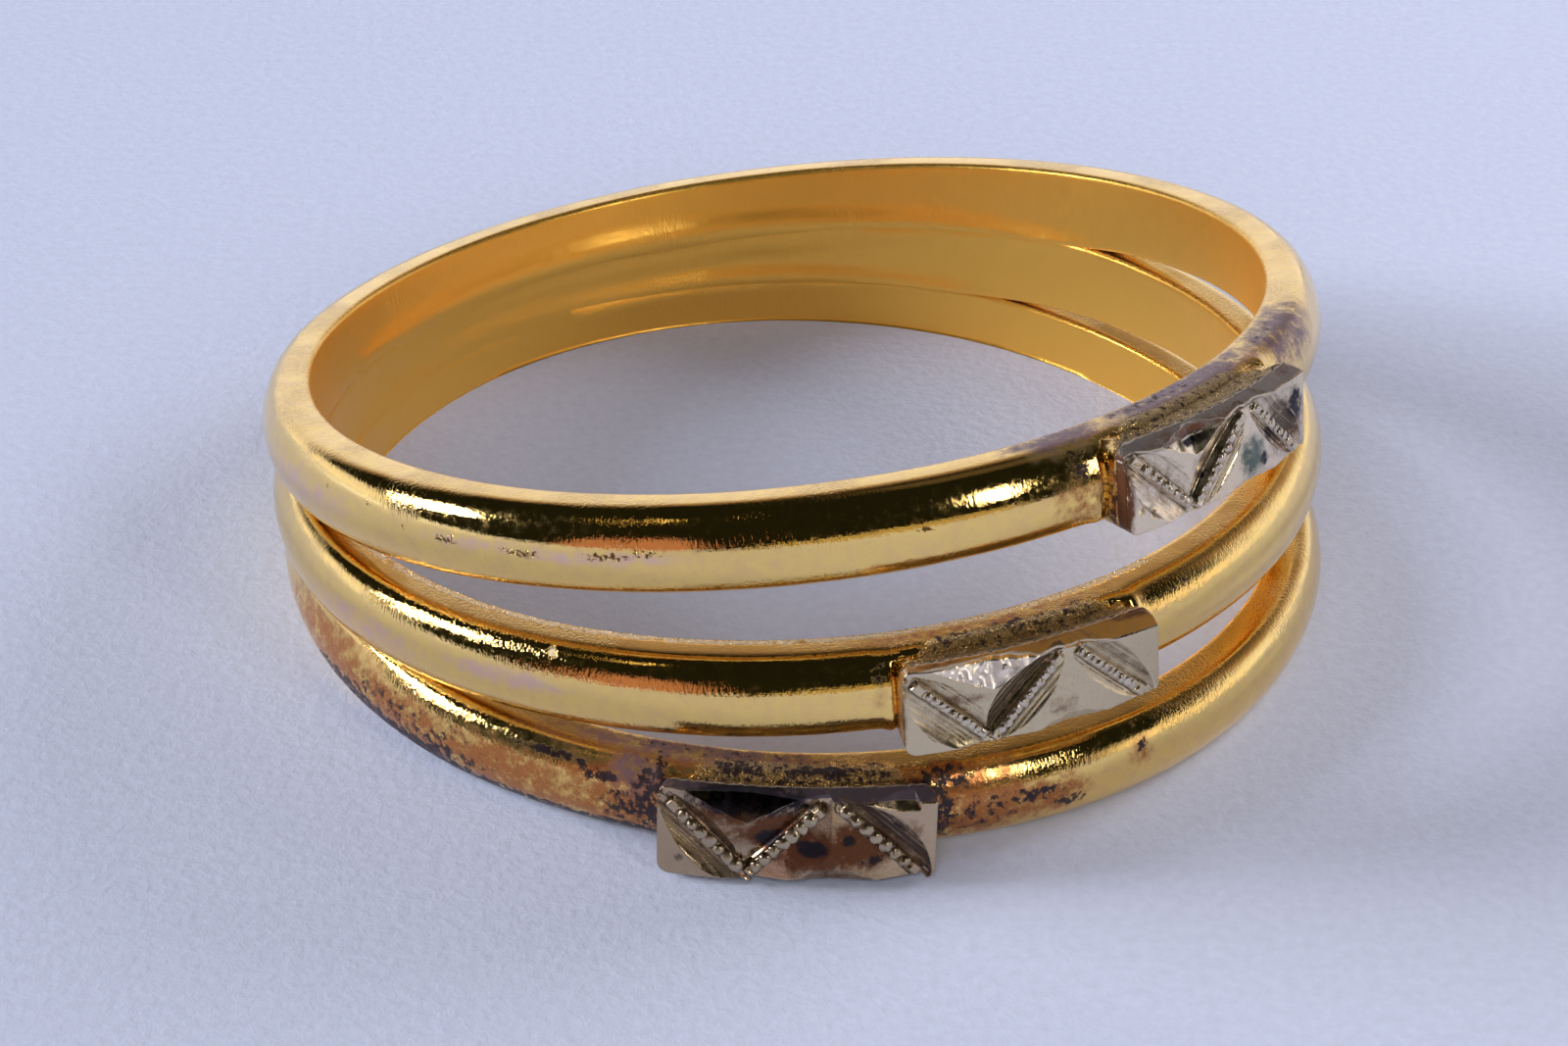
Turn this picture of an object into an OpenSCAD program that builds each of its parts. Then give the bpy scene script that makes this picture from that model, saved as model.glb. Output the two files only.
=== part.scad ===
// A worn gold fan ring. Three half-round yellow-gold bands are soldered together at the back of the
// finger and fan apart at the front. Each band carries a white-gold plate with a cut zigzag pattern.
// The ring lies on its side on the plane z = 0, on the worn underside of its lowest band.

/* [Bands] */
// Inside diameter of every band
bore_d = 17.2; // [15.6:0.1:21]
// Width of a band along the finger
band_w = 1.5; // [1.3:0.05:1.8]
// Thickness of a band at its flat side faces
side_t = 0.63; // [0.5:0.01:0.75]
// Thickness of a band at the crown of its dome
crown_t = 0.95; // [0.85:0.01:1.1]

/* [Fan] */
// Angle between the lower and the middle band
lower_fan = 5; // [3:0.5:7]
// Angle between the middle and the upper band
upper_fan = 6.5; // [4:0.5:8]
// Angle by which the lower band is worn narrower towards the back
wear_tilt = 1.75; // [1:0.25:1.75]

/* [Plates] */
// Length of a plate round the band
plate_l = 4.6; // [4:0.1:5]
// Height of the lower plate, across the band
lower_h = 1.62; // [1.5:0.02:1.64]
// Height of the middle and the upper plate
plate_h = 1.52; // [1.5:0.02:1.64]
// Thickness of a plate
plate_t = 0.3; // [0.25:0.01:0.4]
// How far a plate's face stands out from the crown of its band
plate_rise = 0.6; // [0.5:0.05:0.8]
// Radius of a plate's corners
plate_corner = 0.22; // [0.1:0.02:0.4]

/* [Cut pattern] */
// Depth of the grooves on either side of a beaded ridge
groove_depth = 0.16; // [0.08:0.01:0.2]
// Width of a groove at the plate's face
groove_w = 0.38; // [0.2:0.02:0.42]
// Distance from a ridge's middle to a groove's middle
groove_off = 0.28; // [0.27:0.01:0.32]
// Number of beads on a ridge
beads = 8; // [5:1:10]
// Radius of a bead
bead_r = 0.07; // [0.05:0.005:0.075]

/* [Hidden] */
$fn = 96;

// Clearance between a plate and its seat, filled by solder on the real ring
joint_gap = 0.02;
bore_r = bore_d / 2;
crown_r = bore_r + crown_t;
face_r = crown_r + plate_rise;
seat_r = face_r - plate_t - joint_gap;
seat_root_r = bore_r + 0.5;
hinge_r = bore_r + side_t;
dome_r = (pow(band_w / 2, 2) + pow(crown_t - side_t, 2)) / (2 * (crown_t - side_t));

// The bands from the lowest up. Each is hinged on the one below at its soldered side.
// HINGE: direction of the soldered side. FAN: angle to the band below. STEP: rise at the hinge.
// SHIFT: how far its middle lies to the left of the one below. PLATE: direction of its plate.
// LEAN: how far the plate's face looks up. HEIGHT: the plate's height.
HINGE = 0;
FAN = 1;
STEP = 2;
SHIFT = 3;
PLATE = 4;
LEAN = 5;
HEIGHT = 6;
BANDS = [
    [0, 0, 0, 0, -92.5, 6, lower_h],
    [141, lower_fan, 0.9, 0.15, -69, 0, plate_h],
    [119, upper_fan, 0.8, 0, -46, -3, plate_h],
];
// Height of the lower band's middle above the plane it rests on
rest_h = 0.56;
// Middle of the ring's bounding box in the lower band's own frame
box_mid = [-0.1334, -0.27];

// The zigzag of beaded ridges on a plate's face. ALONG is measured round the band to the right
// and UP towards the upper band, from the plate's middle.
ALONG0 = 0;
UP0 = 1;
ALONG1 = 2;
UP1 = 3;
RIDGES = [
    [-2.05, 0.47, -0.92, -0.68],
    [-0.84, -0.68, 0.42, 0.52],
    [0.78, 0.42, 2.08, -0.68],
];
// Facets cut off the long edges of the face. Columns: middle along the edge, edge (1 top,
// -1 bottom), length, distance from the edge, angle to the face.
SCOOPS = [
    [-0.85, 1, 1.7, 0.36, 36],
    [1.4, 1, 1.1, 0.16, 40],
    [0.6, -1, 1.9, 0.14, 45],
];

// Places children on the plane that the ring rests on, in the middle of the lower band.
module at_rest() {
    translate([-box_mid.x, -box_mid.y, 0]) children();
}

// Places children in the frame of a band, which is that of the band below turned about its hinge.
module at_band(i) {
    if (i == 0)
        at_rest() translate([0, 0, rest_h]) rotate([-wear_tilt, 0, 0]) children();
    else
        at_band(i - 1) hinged(BANDS[i]) children();
}

module hinged(b) {
    soldered = [cos(b[HINGE]), sin(b[HINGE]), 0];
    translate(hinge_r * soldered + [-b[SHIFT], 0, b[STEP]])
        rotate(a = b[FAN], v = [-soldered.y, soldered.x, 0])
            translate(-hinge_r * soldered)
                children();
}

// Half-round band: flat bore wall and sides, domed outside.
module band() {
    rotate_extrude()
        intersection() {
            translate([bore_r, -band_w / 2]) square([crown_t, band_w]);
            translate([crown_r - dome_r, 0]) circle(r = dome_r);
        }
}

// The lower band with its seat, worn flat underneath so that it lies level and is narrowest at the back.
module worn_band() {
    difference() {
        union() {
            at_band(0) band();
            seat(0);
        }
        translate([0, 0, -band_w]) cylinder(r = 2 * bore_r, h = band_w);
    }
}

// Places children at a plate: X points out of the ring, Y to the right along the band, Z up.
module at_plate(i) {
    at_band(i)
        rotate([0, 0, BANDS[i][PLATE]])
            translate([crown_r, 0, 0]) rotate([0, -BANDS[i][LEAN], 0]) translate([-crown_r, 0, 0])
                children();
}

// Rounded block of height h curved with the band, between two radii.
module tile(r0, r1, h) {
    intersection() {
        difference() {
            cylinder(r = r1, h = 2 * h, center = true);
            cylinder(r = r0, h = 3 * h, center = true);
        }
        translate([bore_r, 0, 0]) rotate([90, 0, 90]) linear_extrude(face_r - bore_r + 1) outline(h);
    }
}

module outline(h) {
    square([plate_l - 2 * plate_corner, h], center = true);
    square([plate_l, h - 2 * plate_corner], center = true);
    for (sx = [-1, 1], sy = [-1, 1])
        translate([sx * (plate_l / 2 - plate_corner), sy * (h / 2 - plate_corner)])
            circle(r = plate_corner);
}

// Places children on the face at a distance along the band and up from the plate's middle.
module on_face(along, up) {
    rotate([0, 0, along / face_r * 180 / PI]) translate([face_r, 0, up]) children();
}

// Straight V groove beside a ridge, on its left (side 1) or right (side -1).
module groove(ridge, side) {
    run = ridge[ALONG1] - ridge[ALONG0];
    rise = ridge[UP1] - ridge[UP0];
    over = 0.3;
    on_face((ridge[ALONG0] + ridge[ALONG1]) / 2, (ridge[UP0] + ridge[UP1]) / 2)
        rotate([atan2(rise, run), 0, 0])
            translate([0, 0, side * groove_off])
                rotate([90, 0, 0])
                    linear_extrude(norm([run, rise]) + over, center = true)
                        polygon([[-groove_depth, 0], [groove_depth, groove_w], [groove_depth, -groove_w]]);
}

module bead_row(ridge) {
    for (k = [0:beads - 1]) {
        t = (k + 0.5) / beads;
        on_face(
            ridge[ALONG0] + t * (ridge[ALONG1] - ridge[ALONG0]),
            ridge[UP0] + t * (ridge[UP1] - ridge[UP0])
        )
            rotate([0, 90, 0]) sphere(r = bead_r);
    }
}

// Slanting facet cut off a long edge of a face of height h.
module scoop(s, h) {
    on_face(s[0], s[1] * (h / 2 - s[3]))
        rotate([0, s[1] * -s[4], 0])
            translate([0, -s[2] / 2, s[1] > 0 ? 0 : -1])
                cube([1, s[2], 1]);
}

// Block of yellow gold that carries a plate, rooted in its band.
module seat(i) {
    at_plate(i) tile(seat_root_r, seat_r, BANDS[i][HEIGHT]);
}

module plate(i) {
    at_plate(i) {
        difference() {
            tile(seat_r + joint_gap, face_r, BANDS[i][HEIGHT]);
            for (r = RIDGES, side = [-1, 1]) groove(r, side);
            for (s = SCOOPS) scoop(s, BANDS[i][HEIGHT]);
        }
        for (r = RIDGES) bead_row(r);
    }
}

// The three bands with the seats of the plates, as soldered.
module shank() {
    color("#c9a03a") {
        worn_band();
        for (i = [1, 2]) {
            at_band(i) band();
            seat(i);
        }
    }
}

module plate_upper() {
    color("#b4aca4") plate(2);
}

module plate_middle() {
    color("#c2bfbb") plate(1);
}

module plate_lower() {
    color("#a59a88") plate(0);
}

shank();
plate_upper();
plate_middle();
plate_lower();
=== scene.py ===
"""Worn gold fan ring: three half-round yellow-gold bands, soldered together at the back of the finger,
each with a small white-gold plate cut with a zigzag of beaded ridges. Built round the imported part.
Sizes are in millimetres and angles in degrees, until a mesh is made in metres."""

import math

import bpy
import numpy as np
from mathutils import Matrix, Vector, noise


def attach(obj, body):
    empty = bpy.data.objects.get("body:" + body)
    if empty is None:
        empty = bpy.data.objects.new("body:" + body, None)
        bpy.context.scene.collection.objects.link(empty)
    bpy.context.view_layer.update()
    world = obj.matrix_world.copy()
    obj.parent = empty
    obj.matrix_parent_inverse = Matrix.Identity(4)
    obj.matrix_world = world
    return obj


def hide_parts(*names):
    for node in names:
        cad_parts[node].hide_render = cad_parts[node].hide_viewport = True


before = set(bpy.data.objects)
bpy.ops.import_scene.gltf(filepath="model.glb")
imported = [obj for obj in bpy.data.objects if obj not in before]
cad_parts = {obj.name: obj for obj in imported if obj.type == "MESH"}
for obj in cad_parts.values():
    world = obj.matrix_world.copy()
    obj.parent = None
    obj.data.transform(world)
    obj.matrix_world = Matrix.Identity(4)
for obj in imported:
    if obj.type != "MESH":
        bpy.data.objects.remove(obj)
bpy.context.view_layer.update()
scene = bpy.context.scene

# Camera. A macro lens a finger's length from the ring, looking down on its front by about a third
# of a right angle. The ring fills most of the picture.
mm = 0.001
picture_w = 1600
focal_px = 3637.0
camera_distance = 65.0
camera_elevation = math.radians(32.622)
camera_azimuth = math.radians(-2.289)
camera_roll = math.radians(1.298)
aim_across = -0.236
aim_up = -1.529
aim_height = 2.5
sensor_w = 36.0

sight = np.array([
    math.sin(camera_azimuth) * math.cos(camera_elevation),
    -math.cos(camera_azimuth) * math.cos(camera_elevation),
    math.sin(camera_elevation),
])
rightwards = np.array([math.cos(camera_azimuth), math.sin(camera_azimuth), 0.0])
upright = np.cross(sight, rightwards)
across = math.cos(camera_roll) * rightwards + math.sin(camera_roll) * upright
up = -math.sin(camera_roll) * rightwards + math.cos(camera_roll) * upright
aim = aim_across * rightwards + aim_up * upright
eye = aim + camera_distance * sight + np.array([0, 0, aim_height])

camera = bpy.data.objects.new("macro_camera", bpy.data.cameras.new("macro_camera"))
scene.collection.objects.link(camera)
camera.matrix_world = Matrix([[*row, p] for row, p in zip(np.stack([across, up, sight], 1), eye * mm)]
                             + [[0, 0, 0, 1]])
camera.data.sensor_width = sensor_w
camera.data.lens = focal_px / picture_w * sensor_w
camera.data.clip_start = 2 * mm
camera.data.clip_end = 10000 * mm
scene.camera = camera
scene.view_settings.view_transform = "Standard"


def srgb(code):
    """Linear colour with alpha from a hex code."""
    parts = [int(code[i:i + 2], 16) / 255 for i in (0, 2, 4)]
    return (*[c / 12.92 if c <= 0.04045 else ((c + 0.055) / 1.055) ** 2.4 for c in parts], 1.0)


def add(tree, kind, inputs=(), **settings):
    """Adds a node, makes its settings and fills its inputs with values or links."""
    node = tree.nodes.new(kind)
    for name, value in settings.items():
        setattr(node, name, value)
    pairs = inputs.items() if isinstance(inputs, dict) else enumerate(inputs)
    for key, value in pairs:
        if isinstance(value, bpy.types.Node):
            value = value.outputs[0]
        if isinstance(value, bpy.types.NodeSocket):
            tree.links.new(value, node.inputs[key])
        elif value is not None:
            node.inputs[key].default_value = value
    return node


# Light. A plain studio as the bands mirror it: dark in front, a window low on the left, a narrow one
# on the right, and behind the ring a wall that is pale low down and dims higher up. Three broad
# lamps light the paper and aren't mirrored.
world = bpy.data.worlds.new("studio")
scene.world = world
world.use_nodes = True
sky = world.node_tree
sky.nodes.clear()
toward = add(sky, "ShaderNodeSeparateXYZ", [add(sky, "ShaderNodeTexCoord")])
# Columns: part of a direction (0 to the right, 1 to the back, 2 up), where a tone of the room starts
# and is full
ENDS = [
    (2, 0.26, 0.14),
    (0, 0.15, -0.25),
    (0, 0.80, 0.97),
]
# Where the wall behind the ring starts and is full, and how much further back at the upper left
behind_ends = (-0.02, 0.22)
left_further_back = -0.70
dark_tone = "171811"
flank_tone = "f0e6dc"
room_brightness = 1.3
# Columns: sine of the elevation, tone of the wall behind the ring there
WALL = [
    (0.0, "eef1ff"),
    (0.25, "cfcfda"),
    (0.36, "a28f80"),
    (0.53, "6c5d52"),
    (0.75, "17150f"),
    (0.90, "4c443a"),
]
wall = add(sky, "ShaderNodeValToRGB", [toward.outputs[2]])
ready_stops = len(wall.color_ramp.elements)
for k, (sine, tone) in enumerate(WALL):
    stop = wall.color_ramp.elements[k] if k < ready_stops else wall.color_ramp.elements.new(sine)
    stop.position = sine
    stop.color = srgb(tone)
# Sockets of a Map Range: 0 the value, 1 and 2 its range, 3 and 4 what that becomes. Sockets of a
# colour Mix: 0 the share of the second colour, 6 and 7 the colours.
low, leftward, rightward = [
    add(sky, "ShaderNodeMapRange", {0: toward.outputs[part], 1: start, 2: full},
        interpolation_type="SMOOTHSTEP")
    for part, start, full in ENDS]
above = add(sky, "ShaderNodeMath", [1.0, low], operation="SUBTRACT")
upper_left = add(sky, "ShaderNodeMath", [above, leftward], operation="MULTIPLY")
backward = add(sky, "ShaderNodeMath", [upper_left, left_further_back, toward.outputs[1]],
               operation="MULTIPLY_ADD")
behind = add(sky, "ShaderNodeMapRange", {0: backward, 1: behind_ends[0], 2: behind_ends[1]},
             interpolation_type="SMOOTHSTEP")
low_right = add(sky, "ShaderNodeMath", [rightward, low], operation="MULTIPLY")
flank = add(sky, "ShaderNodeMix", {0: low_right, 6: srgb(dark_tone), 7: srgb(flank_tone)}, data_type="RGBA")
room = add(sky, "ShaderNodeMix", {0: behind, 6: flank.outputs[2], 7: wall}, data_type="RGBA")
glow = add(sky, "ShaderNodeBackground", {0: room.outputs[2], 1: room_brightness})
add(sky, "ShaderNodeOutputWorld", [glow])

lamp_distance = 220
# Columns: name, azimuth and elevation seen from the ring, width, height, brightness, colour,
# mirrored by the metal
LAMPS = [
    ("window_left", -177, 20, 62, 36, 26.0, "fdfdff", True),
    ("window_right", -50, 28, 36, 84, 6.3, "fffaf0", True),
    ("lamp_left", 172, 22, 120, 100, 9.4, "eaf0ff", False),
    ("lamp_right", 28, 30, 120, 120, 4.9, "f6f4fa", False),
    ("lamp_front", -95, 36, 150, 150, 1.9, "f4f4ff", False),
    ("lamp_warm", -138, 46, 16, 30, 1.6, "e8d098", True),
    ("red_card", -125, 3, 112, 130, 0.45, "e8a898", True),
    ("pale_table_edge", -72, 3, 230, 46, 0.42, "ecd8a4", True),
]
for name, azimuth, elevation, wide, high, bright, colour, mirrored in LAMPS:
    a = math.radians(azimuth)
    e = math.radians(elevation)
    out = Vector((math.cos(a) * math.cos(e), math.sin(a) * math.cos(e), math.sin(e)))
    lamp = bpy.data.objects.new(name, bpy.data.lights.new(name, "AREA"))
    lamp.data.shape = "ELLIPSE"
    lamp.data.size = wide * mm
    lamp.data.size_y = high * mm
    lamp.data.energy = bright * math.pi * wide * high * mm ** 2
    lamp.data.color = srgb(colour)[:3]
    lamp.location = out * lamp_distance * mm
    lamp.rotation_euler = out.to_track_quat("Z", "Y").to_euler()
    lamp.visible_glossy = mirrored
    scene.collection.objects.link(lamp)

# Floor. A sheet of uncoated lavender drawing paper, laid flat under the ring. It is matt with a fine
# tooth. Painted light: its colour is made a little bluer and lighter towards the far side, and lighter
# towards the right.
tooth_per_mm = 4.5
tooth_depth = 0.05
near_tone = "d4dbf0"
far_painted_light_tone = "dee6ff"
painted_light_near_to_far = (-12, 35)
painted_light_left_to_right = (-18, 18)
floor_half = 600 * mm
paper = bpy.data.materials.new("uncoated_lavender_paper")
paper.use_nodes = True
sheet = paper.node_tree
on_paper = add(sheet, "ShaderNodeTexCoord").outputs["Object"]
tooth = add(sheet, "ShaderNodeTexNoise",
            {"Vector": on_paper, "Scale": tooth_per_mm / mm, "Detail": 3.0, "Roughness": 0.65})
spot = add(sheet, "ShaderNodeSeparateXYZ", [on_paper])
# Painted light: the paper gets lighter and bluer towards the far side
far = add(sheet, "ShaderNodeMapRange", {0: spot.outputs[1], 1: painted_light_near_to_far[0] * mm, 2: painted_light_near_to_far[1] * mm})
tint = add(sheet, "ShaderNodeMix", {0: far, 6: srgb(near_tone), 7: srgb(far_painted_light_tone)}, data_type="RGBA")
# Painted light: the paper gets lighter towards the right
painted_light_sideways = add(sheet, "ShaderNodeMapRange",
               {0: spot.outputs[0], 1: painted_light_left_to_right[0] * mm, 2: painted_light_left_to_right[1] * mm, 3: 0.93, 4: 1.11})
mottle = add(sheet, "ShaderNodeMapRange", {0: tooth, 1: 0.3, 2: 0.7, 3: 0.95, 4: 1.04})
shade = add(sheet, "ShaderNodeMath", [painted_light_sideways, mottle], operation="MULTIPLY")
mottled = add(sheet, "ShaderNodeVectorMath", {0: tint.outputs[2], 3: shade}, operation="SCALE")
relief = add(sheet, "ShaderNodeBump", {"Height": tooth, "Strength": 0.5, "Distance": tooth_depth * mm})
skin = sheet.nodes["Principled BSDF"]
skin.inputs["Roughness"].default_value = 0.95
skin.inputs["Specular IOR Level"].default_value = 0.2
sheet.links.new(mottled.outputs[0], skin.inputs["Base Color"])
sheet.links.new(relief.outputs[0], skin.inputs["Normal"])
floor_mesh = bpy.data.meshes.new("paper_floor")
corners = [(x * floor_half, y * floor_half, 0) for x, y in ((-1, -1), (1, -1), (1, 1), (-1, 1))]
floor_mesh.from_pydata(corners, [], [(0, 1, 2, 3)])
floor_mesh.materials.append(paper)
floor = bpy.data.objects.new("paper_floor", floor_mesh)
scene.collection.objects.link(floor)

# Shank. Three half-round bands of 18 ct yellow gold, each with a block of gold that carries its
# plate. They are soldered together at the back left and fan apart towards the front right.
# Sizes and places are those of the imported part.
bore_r = 8.6
band_w = 1.5
side_t = 0.63
crown_t = 0.95
crown_r = bore_r + crown_t
hinge_r = bore_r + side_t
dome_r = ((band_w / 2) ** 2 + (crown_t - side_t) ** 2) / (2 * (crown_t - side_t))
rest_h = 0.56
box_mid = (-0.1334, -0.27)
wear_tilt = 1.75
# Columns: hinge direction, fan angle, step at the hinge, shift to the left, plate direction,
# lean of the plate, height of the plate
BANDS = [
    (0, 0, 0, 0, -92.5, 6, 1.62),
    (141, 5, 0.9, 0.15, -69, 0, 1.52),
    (119, 6.5, 0.8, 0, -46, -3, 1.52),
]
plate_l = 4.6
plate_corner = 0.22
plate_t = 0.3
joint_gap = 0.02
plate_rise = 0.6
face_r = crown_r + plate_rise
seat_r = face_r - plate_t - joint_gap
seat_root = 0.5
seat_root_r = bore_r + seat_root


def move(x, y, z):
    """4 x 4 matrix of a shift in mm."""
    return np.array(Matrix.Translation((x, y, z)))


def turn(degrees, axis):
    """4 x 4 matrix of a turn about an axis through the origin."""
    return np.array(Matrix.Rotation(math.radians(degrees), 4, Vector(axis)))


def at_band(i):
    """Frame of a band: Z along the finger, origin in the middle of its bore."""
    if i == 0:
        return move(-box_mid[0], -box_mid[1], rest_h) @ turn(-wear_tilt, (1, 0, 0))
    hinge, fan, step, shift = BANDS[i][:4]
    e = np.array([math.cos(math.radians(hinge)), math.sin(math.radians(hinge)), 0])
    lifted = move(*(hinge_r * e + np.array([-shift, 0, step])))
    return at_band(i - 1) @ lifted @ turn(fan, (-e[1], e[0], 0)) @ move(*(-hinge_r * e))


def at_plate(i):
    """Frame of a plate: X out of the ring, Y to the right along the band, Z up."""
    direction, lean = BANDS[i][4:6]
    return (at_band(i) @ turn(direction, (0, 0, 1)) @ move(crown_r, 0, 0) @ turn(-lean, (0, 1, 0))
            @ move(-crown_r, 0, 0))


def into(matrix, points):
    """Points seen from the frame that the matrix places."""
    inverse = np.linalg.inv(matrix)
    return points @ inverse[:3, :3].T + inverse[:3, 3]


def out_of(matrix, points):
    """Points of a frame in the ring's own frame."""
    return points @ matrix[:3, :3].T + matrix[:3, 3]


def band_depth(i, points):
    """Distance to the surface of a band, less than zero inside it."""
    p = into(at_band(i), points)
    r = np.hypot(p[:, 0], p[:, 1])
    dome = np.hypot(r - (crown_r - dome_r), p[:, 2]) - dome_r
    return np.maximum.reduce([np.abs(p[:, 2]) - band_w / 2, bore_r - r, dome])


def seat_depth(i, points):
    """Distance to the surface of a plate's block, less than zero inside it."""
    p = into(at_plate(i), points)
    r = np.hypot(p[:, 0], p[:, 1])
    along = np.arctan2(p[:, 1], p[:, 0]) * face_r
    return np.maximum.reduce([np.abs(along) - plate_l / 2, np.abs(p[:, 2]) - BANDS[i][6] / 2,
                              r - seat_r, seat_root_r - r])


def ripple(points, size, seed=0.0):
    """Smooth noise from -1 to 1 with lumps of a size in mm."""
    return np.array([noise.noise((x + seed, y, z)) for x, y, z in (points / size).tolist()])


def soft_step(x):
    """Smooth step from 0 at 0 to 1 at 1."""
    x = np.clip(x, 0, 1)
    return x * x * (3 - 2 * x)


# Radii of the worn edges: where the dome meets the flat sides, and round the bore
shoulder = 0.16
inner_round = 0.10


def band_outline(count, blunt):
    """Half-round section as radius, height, both parts of its normal. Its edges are worn round."""
    steps = 4000
    dome_steps = 400
    round_steps = 20
    near = 3
    share_at_bends = 0.8
    dome = math.asin(band_w / 2 / dome_r) - shoulder / dome_r
    sweep = np.linspace(dome, -dome, dome_steps)
    arc = np.stack([crown_r - dome_r + dome_r * np.cos(sweep), dome_r * np.sin(sweep)], 1)
    half = band_w / 2
    t = np.linspace(0, 1, round_steps)[:, None]
    rounds = [np.array(p[0]) * (1 - t) ** 2 + np.array(p[1]) * 2 * t * (1 - t) + np.array(p[2]) * t ** 2
              for p in (((bore_r, half - inner_round), (bore_r, half), (bore_r + inner_round, half)),
                        ((hinge_r - shoulder, half), (hinge_r, half), arc[0]))]
    path = np.concatenate(rounds + [arc] + [part[::-1] * (1, -1) for part in rounds[::-1]] + [rounds[0][:1]])
    length = np.r_[0, np.cumsum(np.hypot(*np.diff(path, axis=0).T))]
    at = np.linspace(0, length[-1], steps, endpoint=False)
    fine = np.stack([np.interp(at, length, path[:, k]) for k in (0, 1)], 1)
    wave = np.fft.fftfreq(steps, length[-1] / steps)
    soft = np.exp(-2 * (math.pi * wave * blunt) ** 2)
    fine = np.stack([np.fft.ifft(np.fft.fft(fine[:, k]) * soft).real for k in (0, 1)], 1)
    along = np.roll(fine, -1, 0) - np.roll(fine, 1, 0)
    heading = np.unwrap(np.arctan2(along[:, 1], along[:, 0]))
    bend = np.abs(np.roll(heading, -near) - np.roll(heading, near))
    bend[:near] = bend[near]
    bend[-near:] = bend[-near - 1]
    need = np.cumsum(1 / steps + share_at_bends * bend / bend.sum())
    pick = np.searchsorted(need, np.linspace(0, need[-1], count, endpoint=False) + need[0])
    pick = np.clip(pick, 0, steps - 1)
    normal = np.stack([-along[:, 1], along[:, 0]], 1)
    normal /= np.hypot(*normal.T)[:, None]
    return fine[pick], normal[pick]


def tube_faces(rings, count):
    """Quads of a closed tube of rings, each with count points."""
    k, j = np.meshgrid(np.arange(rings), np.arange(count), indexing="ij")
    k2, j2 = (k + 1) % rings, (j + 1) % count
    return np.stack([k * count + j, k2 * count + j, k2 * count + j2, k * count + j2], -1).reshape(-1, 4)


def new_piece(name, points, faces):
    """Object with a smooth mesh from points in mm."""
    mesh = bpy.data.meshes.new(name)
    mesh.from_pydata((points * mm).tolist(), [], [list(f) for f in faces])
    mesh.validate()
    mesh.shade_smooth()
    piece = bpy.data.objects.new(name, mesh)
    scene.collection.objects.link(piece)
    return piece


def fillet_lift(gap, reach):
    """How far solder stands on a surface at a distance from the solid that it is soldered to."""
    fade = 0.10
    lowest = -0.04
    outside = reach / 4 * np.clip(1 - gap / reach, 0, 1) ** 2
    return np.where(gap > 0, outside, np.maximum(reach / 4 * (1 + gap / fade), lowest))


def bore_shift(i, points):
    """How far a bore is moved outwards so that the bores of touching bands run into one smooth wall."""
    fade = 0.5
    seam_depth = 0.05
    zone = 0.25
    zone_fade = 0.15
    local = [into(at_band(j), points) for j in range(3)]
    radii = np.stack([np.hypot(p[:, 0], p[:, 1]) for p in local])
    share = np.stack([soft_step((band_w / 2 - np.abs(p[:, 2])) / fade) for p in local])
    share[i] += 0.001
    share /= share.sum(0)
    shift = -(share * (radii - radii[i])).sum(0)
    other = np.delete(share, i, 0).max(0)
    sunk = seam_depth * np.clip((other - share[i]) / 0.6, 0, 1) ** 2
    return (shift + sunk) * np.clip((bore_r + zone - radii[i]) / zone_fade, 0, 1)


outline_points = 52
outline_blunt = 0.02
band_rings = 380
band_fillet = 0.30
seat_fillet = 0.42
dome_fade = 0.12
# Squares of the radii from which the dome and the soldered sides start
dome_from_sq = 81
side_from_sq = 77
# Unevenness of the hammered bands. Columns: height, length, place of its pattern on each next band
WAVES = [
    (0.010, 2.6, 7.0),
    (0.003, 0.7, 3.0),
]
outline, outline_normal = band_outline(outline_points, outline_blunt)
turns = np.linspace(0, 2 * math.pi, band_rings, endpoint=False)
radial = np.stack([np.cos(turns), np.sin(turns), 0 * turns], 1)
axis = np.array([0, 0, 1.0])
shells = []
for i in range(3):
    ring = (outline[None, :, :1] * radial[:, None] + outline[None, :, 1:] * axis).reshape(-1, 3)
    normal = outline_normal[None, :, :1] * radial[:, None] + outline_normal[None, :, 1:] * axis
    on_dome = ring[:, 0] ** 2 + ring[:, 1] ** 2 > dome_from_sq
    dome_side = np.clip((band_w / 2 - np.abs(ring[:, 2])) / dome_fade, 0, 1) * on_dome
    place = at_band(i)
    spoke = np.repeat(radial, len(outline), 0) @ place[:3, :3].T
    ring = out_of(place, ring)
    normal = normal.reshape(-1, 3) @ place[:3, :3].T
    bore_out = bore_shift(i, ring)
    neighbours = np.minimum.reduce([band_depth(j, ring) for j in range(3) if abs(j - i) == 1])
    lift = fillet_lift(neighbours, band_fillet) * (ring[:, 0] ** 2 + ring[:, 1] ** 2 > side_from_sq)
    lift = np.maximum(lift, fillet_lift(seat_depth(i, ring), seat_fillet) * dome_side)
    for wave, length, offset in WAVES:
        lift = lift + wave * ripple(ring, length, offset * i)
    ring = ring + normal * lift[:, None] + spoke * bore_out[:, None]
    ring[:, 2] = np.maximum(ring[:, 2], 0)
    shells.append(new_piece(f"band_{i}", ring, tube_faces(len(turns), len(outline))))


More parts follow.
